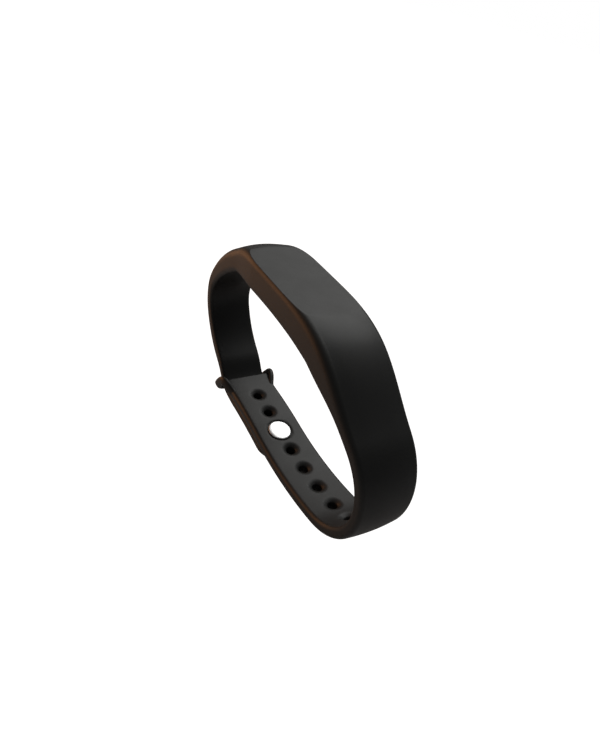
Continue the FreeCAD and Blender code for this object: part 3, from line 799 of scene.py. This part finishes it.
# Finishes with fixed colours by slot: group, name, two colours, size or stretch
# of the pattern, span of roughness, distance and strength of the bump.
FINISHES = {
    "gasket_rubber": ("grain", "Gasket rubber", (0.2, 0.03, 0.02), (0.3, 0.05, 0.03), 3000.0,
                      (0.55, 0.7), (0.00003, 0.3)),
    "contact_gold": ("brush", "Contact gold", (0.92, 0.66, 0.25), (0.8, 0.54, 0.18), (3000.0, 300.0, 300.0),
                     (0.16, 0.3), (0.00001, 0.2)),
    "chip_plastic": ("grain", "Chip plastic", (0.014, 0.014, 0.015), (0.03, 0.03, 0.031), 7000.0,
                     (0.45, 0.6), (0.00003, 0.5)),
    "plated_can": ("brush", "Plated can", (0.74, 0.73, 0.7), (0.6, 0.59, 0.57), (200.0, 4200.0, 200.0),
                   (0.25, 0.4), (0.00002, 0.3)),
    "antenna_ceramic": ("grain", "Antenna ceramic", (0.55, 0.6, 0.64), (0.68, 0.72, 0.75), 2500.0,
                        (0.2, 0.35), (0.00002, 0.2)),
    "led_body": ("grain", "Light body", (0.75, 0.73, 0.6), (0.85, 0.84, 0.76), 4000.0,
                 (0.2, 0.3), (0.00001, 0.2)),
    "pad_foam": ("grain", "Pad foam", (0.045, 0.045, 0.05), (0.12, 0.12, 0.125), 2200.0,
                 (0.8, 0.95), (0.0001, 0.9)),
    "cell_foil": ("brush", "Cell foil", (0.66, 0.67, 0.69), (0.5, 0.51, 0.53), (250.0, 250.0, 1800.0),
                  (0.3, 0.48), (0.00005, 0.5)),
    "rotor_metal": ("brush", "Rotor metal", (0.36, 0.34, 0.31), (0.24, 0.22, 0.2), (900.0, 900.0, 900.0),
                    (0.4, 0.55), (0.00004, 0.5)),
}


class BAND_OT_finishes(bpy.types.Operator):
    """Make every finish and give the kept nodes theirs"""

    bl_idname = "tracker_band.finishes"
    bl_label = "Make finishes"

    def execute(self, context):
        finish = context.scene.tracker_finish
        groups = {"grain": build_moulded_grain(), "brush": build_fine_brush()}
        silicone, shell, stud = tuple(finish.silicone), tuple(finish.shell), tuple(finish.stud)
        lift = tuple(min(1.0, channel * 1.9 + 0.002) for channel in silicone)
        MATERIALS["silicone"] = finish_material(
            "Soft touch silicone", groups["grain"], silicone, lift, 1.0 / finish.grain, (0.46, 0.56),
            (0.00003, 0.3), Specular_IOR_Level=0.5)
        MATERIALS["stud_metal"] = finish_material(
            "Polished stud", groups["brush"], stud, tuple(channel * 0.93 for channel in stud),
            (300.0, 2600.0, 300.0), (0.3, 0.4), (0.00001, 0.1), Metallic=1.0)
        MATERIALS["core_shell"] = finish_material(
            "Core shell plastic", groups["grain"], shell, tuple(channel * 1.7 for channel in shell), 4200.0,
            (0.38, 0.5), (0.00004, 0.4))
        for slot, (kind, *values) in FINISHES.items():
            extra = {"Metallic": 1.0} if kind == "brush" else {}
            if slot == "led_body":
                extra["Coat_Weight"] = 0.4
            MATERIALS[slot] = finish_material(values[0], groups[kind], *values[1:], **extra)
        MATERIALS["board"] = board_material()
        MATERIALS["clear_guide"] = guide_material()
        slots = {part["node"]: part["material_slot"] for part in frame["record"]["subparts"]}
        for name, node in frame["nodes"].items():
            material = MATERIALS[slots[name]]
            if not node.material_slots:
                node.data.materials.append(material)
            for slot in node.material_slots:
                slot.material = material
        return {"FINISHED"}


# ---- silicone pieces --------------------------------------------------------

def joint_point(name):
    return Vector(JOINTS[name]["pos_m"])


def flex_ends(name, toward, reach):
    """Where a flex line starts and ends its bend, reach either side of the
    joint along the given direction in the YZ plane."""
    pivot = joint_point(name)
    step = Vector((0.0, float(toward[0]), float(toward[1]))).normalized() * reach
    return tuple(pivot - step), tuple(pivot + step)


POD_CUT = 3.0


class BAND_OT_pod(bpy.types.Operator):
    """Pod sleeve with its flat top and the pocket for the core"""

    bl_idname = "tracker_band.pod"
    bl_label = "Pod sleeve"

    def execute(self, context):
        settings = context.scene.tracker_band
        rails = Rails(settings)
        work = Patchwork()
        stations = stations_between(POD_START_W + POD_CUT, LONG_START_W - POD_CUT, 0.3)
        first, quads, points = band_grid(work, rails, stations, settings)
        core_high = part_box("core_base")[1]
        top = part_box("core_cover")[1].z / MM + 0.15
        half_length = core_high.y / MM + 0.2
        radius = core_high.x / MM + 0.2
        inner_y = points[:, FACE_COLUMNS // 2, 1]
        ring_low = int(np.searchsorted(-inner_y, -(half_length + 0.6)))
        ring_high = int(np.searchsorted(-inner_y, half_length + 0.6))
        mask = np.ones(quads.shape[:2], bool)
        without_cell(mask, ring_low, ring_high, False)
        work.add_quads(quads[mask])
        low_column, high_column = MARGIN_COLUMNS, MARGIN_COLUMNS + MIDDLE_COLUMNS
        rings, columns = perimeter(ring_low, ring_high, low_column, high_column)
        edge = points[rings, columns]
        straight = half_length - radius
        spine = np.clip(edge[:, 1], -straight, straight)
        arm = np.stack([edge[:, 0], edge[:, 1] - spine], 1)
        arm /= np.linalg.norm(arm, axis=1)[:, None]
        loops = [grid_vertex(first, rings, columns)]

        def add_loop(x, y, z):
            start = work.add_vertices(np.stack([x, y, np.broadcast_to(z, x.shape)], 1))
            loops.append(np.arange(start, start + x.size))

        rim_z = edge[:, 2]
        for grow, down in ((0.22, 0.0), (0.08, 0.06), (0.0, 0.25)):
            add_loop(arm[:, 0] * (radius + grow), spine + arm[:, 1] * (radius + grow), rim_z + down)
        for share in (0.4, 0.97):
            add_loop(arm[:, 0] * radius, spine + arm[:, 1] * radius, rim_z + (top - rim_z) * share)
        add_loop(arm[:, 0] * (radius - 0.15), spine + arm[:, 1] * (radius - 0.15), np.full(rim_z.shape, top))
        for one, other in zip(loops[:-1], loops[1:]):
            work.add_quads(loop_quads(one, other))
        work.add_polygon(loops[-1])
        close_ends(work, first, len(stations))
        piece = work.finish("band_pod", "silicone", MATERIALS["silicone"])
        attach(piece, "pod")
        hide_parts("pod_sleeve")
        return {"FINISHED"}


def build_band_stretch(name, start, end, settings):
    """Plain stretch of the band between two stations on the rails."""
    work = Patchwork()
    stations = stations_between(start, end, 0.4)
    first, quads, _ = band_grid(work, Rails(settings), stations, settings)
    work.add_quads(quads)
    close_ends(work, first, len(stations))
    return work.finish(name, "silicone", MATERIALS["silicone"])


NEAR_JOIN_U = 24.0


class BAND_OT_long_strap(bpy.types.Operator):
    """Upper half of the long strap, from the pod to the start of the hole strap"""

    bl_idname = "tracker_band.long_strap"
    bl_label = "Long strap"

    def execute(self, context):
        settings = context.scene.tracker_band
        piece = build_band_stretch(
            "band_near", LONG_START_W - POD_CUT, LONG_START_W + NEAR_JOIN_U, settings)
        start, end = flex_ends("near_flex", frame_at(0.0)[1], 0.0024)
        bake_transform(piece)
        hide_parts("near_strap")
        return {"FINISHED"}


class BAND_OT_hole_strap(bpy.types.Operator):
    """Lower half of the long strap, with its fastening holes"""

    bl_idname = "tracker_band.hole_strap"
    bl_label = "Hole strap"

    def execute(self, context):
        settings = context.scene.tracker_band
        rails = Rails(settings)
        work = Patchwork()
        cells = 16
        cell_step = HOLE_PITCH / cells
        last_cell = FIRST_HOLE_U - HOLE_PITCH * (HOLE_COUNT - 0.5)
        first_cell = FIRST_HOLE_U + HOLE_PITCH / 2
        before = stations_between(NEAR_JOIN_U, last_cell, cell_step)
        holes = last_cell + cell_step * np.arange(1, cells * HOLE_COUNT + 1)
        after = stations_between(first_cell, STRAP_END_U, cell_step)[1:]
        stations = LONG_START_W + np.concatenate([before, holes, after])
        first, quads, points = band_grid(work, rails, stations, settings)
        mask = np.ones(quads.shape[:2], bool)
        for index in range(HOLE_COUNT):
            low = len(before) - 1 + cells * index
            without_cell(mask, low, low + cells, True)
            stud_here = index == HOLE_COUNT - 1 - OCCUPIED_HOLE
            add_hole(work, first, low, low + cells, stations, points, rails, settings, stud_here)
        work.add_quads(quads[mask])
        close_ends(work, first, len(stations))
        self.press_stud_seat(work)
        piece = work.finish("band_holes", "silicone", MATERIALS["silicone"])
        start, end = flex_ends("lower_flex", frame_at(LOWER_FLEX_U)[1], 0.004)
        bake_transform(piece)
        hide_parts("hole_strap", "stud_hole_lip")
        return {"FINISHED"}

    @staticmethod
    def press_stud_seat(work):
        """Sinks the skin side a little round the stud head: the depth falls off
        as a smooth step with the distance from the stud's axis."""
        point, along, outward = frame_at(STUD_U)
        for block in work.vertices:
            relative = block[:, 1:] - point
            height = relative @ outward
            distance = np.hypot(relative @ along, block[:, 0])
            share = 1.0 - smooth_step((distance - STUD_HEAD_RADIUS - 0.05) / 0.6)
            depth = STUD_SEAT_DEPTH * share * (height < -0.2)
            block[:, 1:] += outward * depth[:, None]


class BAND_OT_short_strap(bpy.types.Operator):
    """Short strap, from the pod down to the keeper loop"""

    bl_idname = "tracker_band.short_strap"
    bl_label = "Short strap"

    def execute(self, context):
        settings = context.scene.tracker_band
        piece = build_band_stretch("band_far", LOOP_U + SHORT_END_GAP, POD_START_W + POD_CUT, settings)
        start, end = flex_ends("far_flex", -frame_at(PATH_LENGTH)[1], 0.0024)
        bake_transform(piece)
        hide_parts("stud_strap")
        return {"FINISHED"}


def swept_tube(work, path, side_radius, out_radius, side_axis, out_axis, points=32):
    """Rounded bar carried along a path: each section is a superellipse with
    half widths side_radius and out_radius along the two given axes."""
    angle = np.linspace(0.0, 2 * math.pi, points, endpoint=False)[None, :, None]
    across = np.sign(np.cos(angle)) * np.abs(np.cos(angle)) ** 0.8
    along = np.sign(np.sin(angle)) * np.abs(np.sin(angle)) ** 0.8
    sections = (path[:, None, :] + across * side_radius[:, None, None] * side_axis[:, None, :]
                + along * out_radius[:, None, None] * out_axis[:, None, :])
    first = work.add_vertices(sections)
    work.add_quads(tube_faces(len(path), points, first))
    close_ends(work, first, len(path), points)


def smooth_curve(knots, count):
    """Catmull-Rom curve through the knots, evenly sampled in its parameter."""
    knots = np.asarray(knots, float)
    padded = np.concatenate([[2 * knots[0] - knots[1]], knots, [2 * knots[-1] - knots[-2]]])
    t = np.linspace(0.0, len(knots) - 1 - 1e-9, count)
    index = t.astype(int)
    f = (t - index)[:, None]
    a, b, c, d = (padded[index + shift] for shift in range(4))
    square, cube = 2 * a - 5 * b + 4 * c - d, 3 * b - a - 3 * c + d
    return 0.5 * (2 * b + (c - a) * f + square * f ** 2 + cube * f ** 3)


class BAND_OT_keeper(bpy.types.Operator):
    """Keeper loop: two ears and the bar outside the short strap"""

    bl_idname = "tracker_band.keeper"
    bl_label = "Keeper loop"

    def execute(self, context):
        point, along, outward = frame_at(LOOP_U)
        # Across, along and outward places of one half of the loop, in millimetres.
        half = [(-6.2, -3.0, -0.3), (-6.75, -1.4, -0.7), (-7.45, 0.3, -1.3),
                (-7.95, 1.7, -1.4), (-8.1, 2.8, -0.6), (-8.1, 3.7, 1.0),
                (-7.8, 4.6, 3.0), (-6.4, 5.0, 4.2), (-3.0, 5.0, 4.6)]
        knots = half + [(0.0, 5.0, 4.65)] + [(-x, t, n) for x, t, n in half[::-1]]
        curve = smooth_curve(knots, 140)
        tangent = np.gradient(curve, axis=0)
        tangent /= np.linalg.norm(tangent, axis=1)[:, None]
        reach = np.abs(np.linspace(-1.0, 1.0, len(curve)))
        ear = smooth_step((reach - 0.45) / 0.4)[:, None]
        upright = np.array([0.0, 0.55, -0.83]) * ear + np.array([0.0, 1.0, 0.1]) * (1.0 - ear)
        side = np.cross(upright, tangent)
        side /= np.linalg.norm(side, axis=1)[:, None]
        other = np.cross(tangent, side)

        def to_space(local):
            return np.stack([local[:, 0], local[:, 1] * along[0] + local[:, 2] * outward[0],
                             local[:, 1] * along[1] + local[:, 2] * outward[1]], 1)

        path = to_space(curve)
        path[:, 1:] += point
        side_radius = np.full(len(path), 0.82)
        out_radius = 1.35 + 0.1 * np.cos(math.pi * reach)
        work = Patchwork()
        swept_tube(work, path, side_radius, out_radius, to_space(side), to_space(other))
        piece = work.finish("band_keeper", "silicone", MATERIALS["silicone"])
        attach(piece, "hole_end")
        return {"FINISHED"}


class BAND_OT_tail(bpy.types.Operator):
    """Tail of the short strap, fastened outside the hole strap"""

    bl_idname = "tracker_band.tail"
    bl_label = "Tail"

    def execute(self, context):
        settings = context.scene.tracker_band
        thickness = settings.tail_thickness / MM
        radius = settings.short_width / (2 * MM)
        straight = stations_between(TAIL_TOP_U - TAIL_TOP_GAP, TAIL_TIP_U + radius, 0.45)
        turn = np.linspace(0.0, 0.5 * math.pi, 26)[1:-1]
        tip = TAIL_TIP_U + radius * (1.0 - np.sin(turn))
        u = np.concatenate([straight, tip])
        width = np.concatenate([np.full(len(straight), radius), radius * np.cos(turn)])
        thin = thickness * (1.0 - 0.75 * fall(u - TAIL_TIP_U, 8.0))
        points, heading = path_at(u)
        normal = outward_at(heading)
        base = tail_offset(settings) - thickness / 2
        outer = points + normal * (base + thin)[:, None]
        inner = points + normal * base
        corner = np.minimum(np.minimum(0.8, 0.45 * thin), width * 0.8)
        flat = np.minimum(4.4, (width - corner) * 0.8)
        sizes = {"half": width, "outer_corner": corner, "inner_corner": corner,
                 "crown": np.minimum(0.12, width * 0.05), "middle": flat}
        work = Patchwork()
        first = work.add_vertices(ring_points(outer, inner, sizes))
        work.add_quads(tube_faces(len(u), SECTION_POINTS, first))
        close_ends(work, first, len(u))
        piece = work.finish("band_tail", "silicone", MATERIALS["silicone"])
        along = frame_at(LOOP_U)[1]
        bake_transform(piece)
        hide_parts("tail_strap")
        return {"FINISHED"}


# ---- stud -------------------------------------------------------------------

def revolve(name, outline, material, slot, points=96):
    """Solid of revolution about the stud's axis: outline is radius and height
    outward along that axis, from the lower pole to the upper pole."""
    point, along, outward = frame_at(STUD_U)
    outline = np.asarray(outline, float)
    angle = np.linspace(0.0, 2 * math.pi, points, endpoint=False)[None, :]
    radius, height = outline[1:-1, 0][:, None], outline[1:-1, 1][:, None]
    x = radius * np.cos(angle)
    t = radius * np.sin(angle)
    h = np.broadcast_to(height, t.shape)
    rings = np.stack([x, point[0] + t * along[0] + h * outward[0],
                      point[1] + t * along[1] + h * outward[1]], 2)
    work = Patchwork()
    first = work.add_vertices(rings)
    count = len(outline) - 2
    work.add_quads(tube_faces(count, points, first))
    turn = np.arange(points)
    following = (turn + 1) % points
    low_pole = work.add_vertices([[0.0, *(point + outward * outline[0, 1])]])
    high_pole = work.add_vertices([[0.0, *(point + outward * outline[-1, 1])]])
    last = first + (count - 1) * points
    work.add_triangles(np.stack([first + following, first + turn, np.full(points, low_pole)], 1))
    work.add_triangles(np.stack([last + turn, last + following, np.full(points, high_pole)], 1))
    return work.finish(name, slot, material, 42.0)


class BAND_OT_stud(bpy.types.Operator):
    """Stud: outer button, stem and the domed head on the skin side"""

    bl_idname = "tracker_band.stud"
    bl_label = "Stud"

    def execute(self, context):
        settings = context.scene.tracker_band
        half = settings.strap_thickness / (2 * MM)
        seat = tail_offset(settings) + settings.tail_thickness / (2 * MM) - 0.5
        arc = np.linspace(0.0, math.pi / 2, 10)
        cap = [(0.0, seat), (3.6, seat), (3.9, seat + 0.1), (4.0, seat + 0.3), (4.0, seat + 0.55)]
        cap += list(zip(3.6 + 0.4 * np.cos(arc[1:]), seat + 0.55 + 0.4 * np.sin(arc[1:])))
        cap += [(3.35, seat + 0.93), (3.15, seat + 0.82), (3.0, seat + 0.8)]
        dome = np.linspace(0.0, 1.0, 10)
        cap += list(zip(2.9 * np.cos(dome * math.pi / 2),
                        seat + 0.8 + 0.34 * np.sin(dome * math.pi / 2) ** 1.2))
        piece = revolve("stud_button", cap, MATERIALS["stud_metal"], "stud_metal")
        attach(piece, "tail")
        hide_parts("stud_cap")
        under = -half + 0.5
        rim = STUD_HEAD_RADIUS
        head = [(0.0, under - 0.8)]
        head += list(zip(rim * np.sin(dome[1:] * math.pi / 2) ** 0.92,
                         under - 0.5 - 0.3 * np.cos(dome[1:] * math.pi / 2)))
        head += [(rim, under - 0.25), (rim - 0.1, under - 0.05), (rim - 0.25, under),
                 (1.3, under), (1.2, under + 0.1), (1.2, seat + 0.3), (0.0, seat + 0.3)]
        piece = revolve("stud_head", head, MATERIALS["stud_metal"], "stud_metal")
        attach(piece, "tail")
        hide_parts("stud_pin")
        return {"FINISHED"}


# ---- stage ------------------------------------------------------------------

SUN_ANGLE = math.radians(54)
WARM_PLACE = (-0.17, 0.22, 0.005)
WARM_SIZE = (0.3, 0.16)
BAND_MIDDLE = (0.0, 0.0, -0.02)
FLOOR_HALF = 6.0


def add_light(name, kind, place, target, colour):
    """Light of the given kind at a place, aimed at the target."""
    light = bpy.data.lights.new(name, kind)
    light.color = colour
    holder = bpy.data.objects.new(name, light)
    holder.location = place
    aim = Vector(target) - Vector(place)
    holder.rotation_euler = aim.to_track_quat("-Z", "Y").to_euler()
    bpy.context.scene.collection.objects.link(holder)
    return holder


def floor_material():
    """Pale matt floor. Seen straight on it is close to white with a faint
    shadow; the light it throws back on the band is weaker."""
    material, tree, shader = start_material("Pale floor")
    coordinates = tree.nodes.new("ShaderNodeTexCoord").outputs["Object"]
    tone = mix_colours(tree, noise_node(tree, coordinates, 3.0), (0.5, 0.5, 0.5, 1), (0.53, 0.53, 0.53, 1))
    tree.links.new(tone, shader.inputs["Base Color"])
    shader.inputs["Roughness"].default_value = 0.9
    shader.inputs["Specular IOR Level"].default_value = 0.1
    shader.inputs["Emission Color"].default_value = (1.0, 1.0, 1.0, 1)
    seen = tree.nodes.new("ShaderNodeLightPath").outputs["Is Camera Ray"]
    tree.links.new(spread(tree, seen, 0.0, 0.93), shader.inputs["Emission Strength"])
    return material


class BAND_OT_stage(bpy.types.Operator):
    """Pale floor below the reach of the peeled tail, soft light and the camera"""

    bl_idname = "tracker_band.stage"
    bl_label = "Stage"

    def execute(self, context):
        stage = context.scene.tracker_stage
        low = JOINTS["tail_peel"]["pos_m"][2] - (TAIL_TOP_U - TAIL_TIP_U + FLOOR_CLEARANCE) * MM
        mesh = bpy.data.meshes.new("floor")
        corners = ((-1, -1), (1, -1), (1, 1), (-1, 1))
        mesh.from_pydata([(FLOOR_HALF * x, FLOOR_HALF * y, low) for x, y in corners], [], [(0, 1, 2, 3)])
        floor = bpy.data.objects.new("floor", mesh)
        context.scene.collection.objects.link(floor)
        mesh.materials.append(floor_material())
        world = bpy.data.worlds.new("Studio")
        world.use_nodes = True
        context.scene.world = world
        tree = world.node_tree
        background = tree.nodes["Background"]
        background.inputs["Color"].default_value = (1.0, 1.0, 1.0, 1)
        seen = tree.nodes.new("ShaderNodeLightPath").outputs["Is Camera Ray"]
        tree.links.new(spread(tree, seen, stage.fill, 1.0), background.inputs["Strength"])
        back = add_light("back", "SUN", tuple(stage.back_from), (0.0, 0.0, 0.0), (1.0, 1.0, 0.98))
        back.data.angle = SUN_ANGLE
        back.data.energy = stage.back_strength
        warm = add_light("warm", "AREA", WARM_PLACE, BAND_MIDDLE, (1.0, 0.44, 0.17))
        warm.visible_camera = False
        warm.data.shape = "RECTANGLE"
        warm.data.size, warm.data.size_y = WARM_SIZE
        warm.data.energy = stage.warm_power
        camera = bpy.data.cameras.new("camera")
        camera.lens = stage.lens
        camera.sensor_width = 36.0
        camera.clip_start = 0.002
        holder = bpy.data.objects.new("camera", camera)
        holder.location = stage.camera_place
        holder.rotation_euler = Euler(tuple(stage.camera_turn), "XYZ")
        context.scene.collection.objects.link(holder)
        context.scene.camera = holder
        context.scene.view_settings.view_transform = "Standard"
        return {"FINISHED"}


class BAND_PT_panel(bpy.types.Panel):
    """Steps of the tracker band, in order"""

    bl_idname = "BAND_PT_panel"
    bl_label = "Tracker Band"
    bl_space_type = "VIEW_3D"
    bl_region_type = "UI"
    bl_category = "Tracker Band"

    def draw(self, context):
        layout = self.layout
        for group in (context.scene.tracker_band, context.scene.tracker_finish, context.scene.tracker_stage):
            for name in group.__annotations__:
                layout.prop(group, name)
        for operator in OPERATORS:
            layout.operator(operator.bl_idname)


OPERATORS = (
    BAND_OT_finishes,
    BAND_OT_pod,
    BAND_OT_long_strap,
    BAND_OT_hole_strap,
    BAND_OT_short_strap,
    BAND_OT_keeper,
    BAND_OT_tail,
    BAND_OT_stud,
    BAND_OT_stage,
)
CLASSES = (BandSettings, FinishSettings, StageSettings, *OPERATORS, BAND_PT_panel)


def register():
    for item in CLASSES:
        bpy.utils.register_class(item)
    bpy.types.Scene.tracker_band = bpy.props.PointerProperty(type=BandSettings)
    bpy.types.Scene.tracker_finish = bpy.props.PointerProperty(type=FinishSettings)
    bpy.types.Scene.tracker_stage = bpy.props.PointerProperty(type=StageSettings)


def unregister():
    del bpy.types.Scene.tracker_stage
    del bpy.types.Scene.tracker_finish
    del bpy.types.Scene.tracker_band
    for item in reversed(CLASSES):
        bpy.utils.unregister_class(item)


def main():
    register()
    bpy.ops.tracker_band.finishes()
    bpy.ops.tracker_band.pod()
    bpy.ops.tracker_band.long_strap()
    bpy.ops.tracker_band.hole_strap()
    bpy.ops.tracker_band.short_strap()
    bpy.ops.tracker_band.keeper()
    bpy.ops.tracker_band.tail()
    bpy.ops.tracker_band.stud()
    bpy.ops.tracker_band.stage()


if __name__ == "__main__":
    main()
